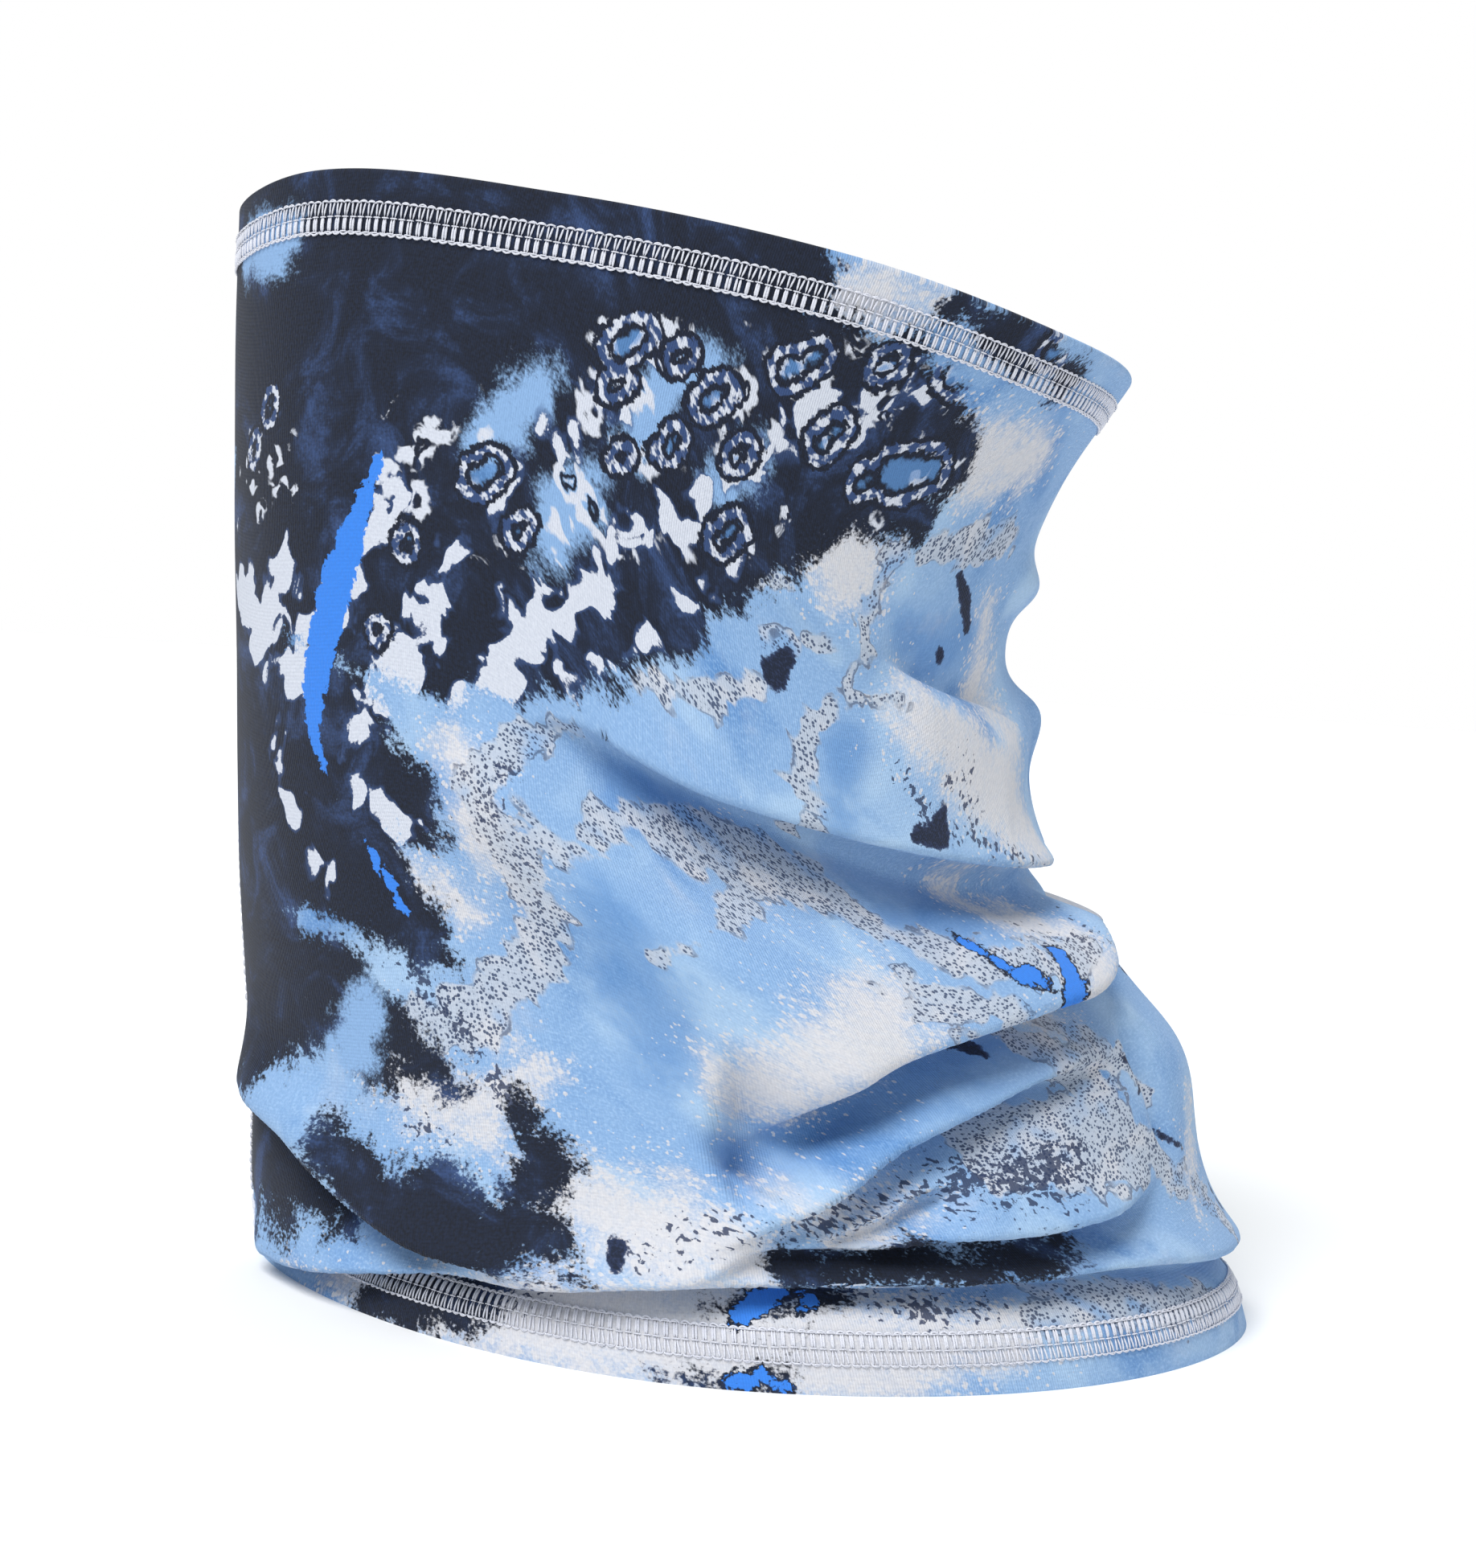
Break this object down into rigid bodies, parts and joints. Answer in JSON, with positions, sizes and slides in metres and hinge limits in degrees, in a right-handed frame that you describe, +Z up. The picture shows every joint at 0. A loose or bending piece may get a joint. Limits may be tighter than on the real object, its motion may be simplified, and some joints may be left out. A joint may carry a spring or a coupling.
{
  "type": "neck gaiter",
  "caption": "Printed stretch knit neck gaiter: a tube worn over the neck and nose, with a folded, coverstitched hem at each end.",
  "frame": {"origin": "middle of the tube's full length and width, on the plane that the bottom hem's folded edge stands on", "axes": "+X to the wearer's front, +Y to the wearer's left, +Z up"},
  "size_m": [0.2512, 0.184, 0.2448],
  "materials": {
    "printed_knit": "matte brushed knit with a marbled print",
    "hem_thread": "soft textured polyester thread",
    "seam_thread": "soft textured polyester thread",
    "label_tape": "blank woven satin tape"
  },
  "bodies": {
    "root": {"printed_panel": "printed_knit", "bottom_hem_needle_thread_edge": "hem_thread", "bottom_hem_needle_thread_middle": "hem_thread", "bottom_hem_needle_thread_body": "hem_thread", "bottom_hem_cover_thread": "hem_thread", "bottom_hem_looper_thread": "hem_thread", "top_hem_needle_thread_edge": "hem_thread", "top_hem_needle_thread_middle": "hem_thread", "top_hem_needle_thread_body": "hem_thread", "top_hem_cover_thread": "hem_thread", "top_hem_looper_thread": "hem_thread", "back_seam_cover_thread": "seam_thread", "back_seam_looper_thread": "seam_thread", "back_seam_needle_thread_left": "seam_thread", "back_seam_needle_thread_right": "seam_thread", "care_label": "label_tape"}
  },
  "joints": []
}
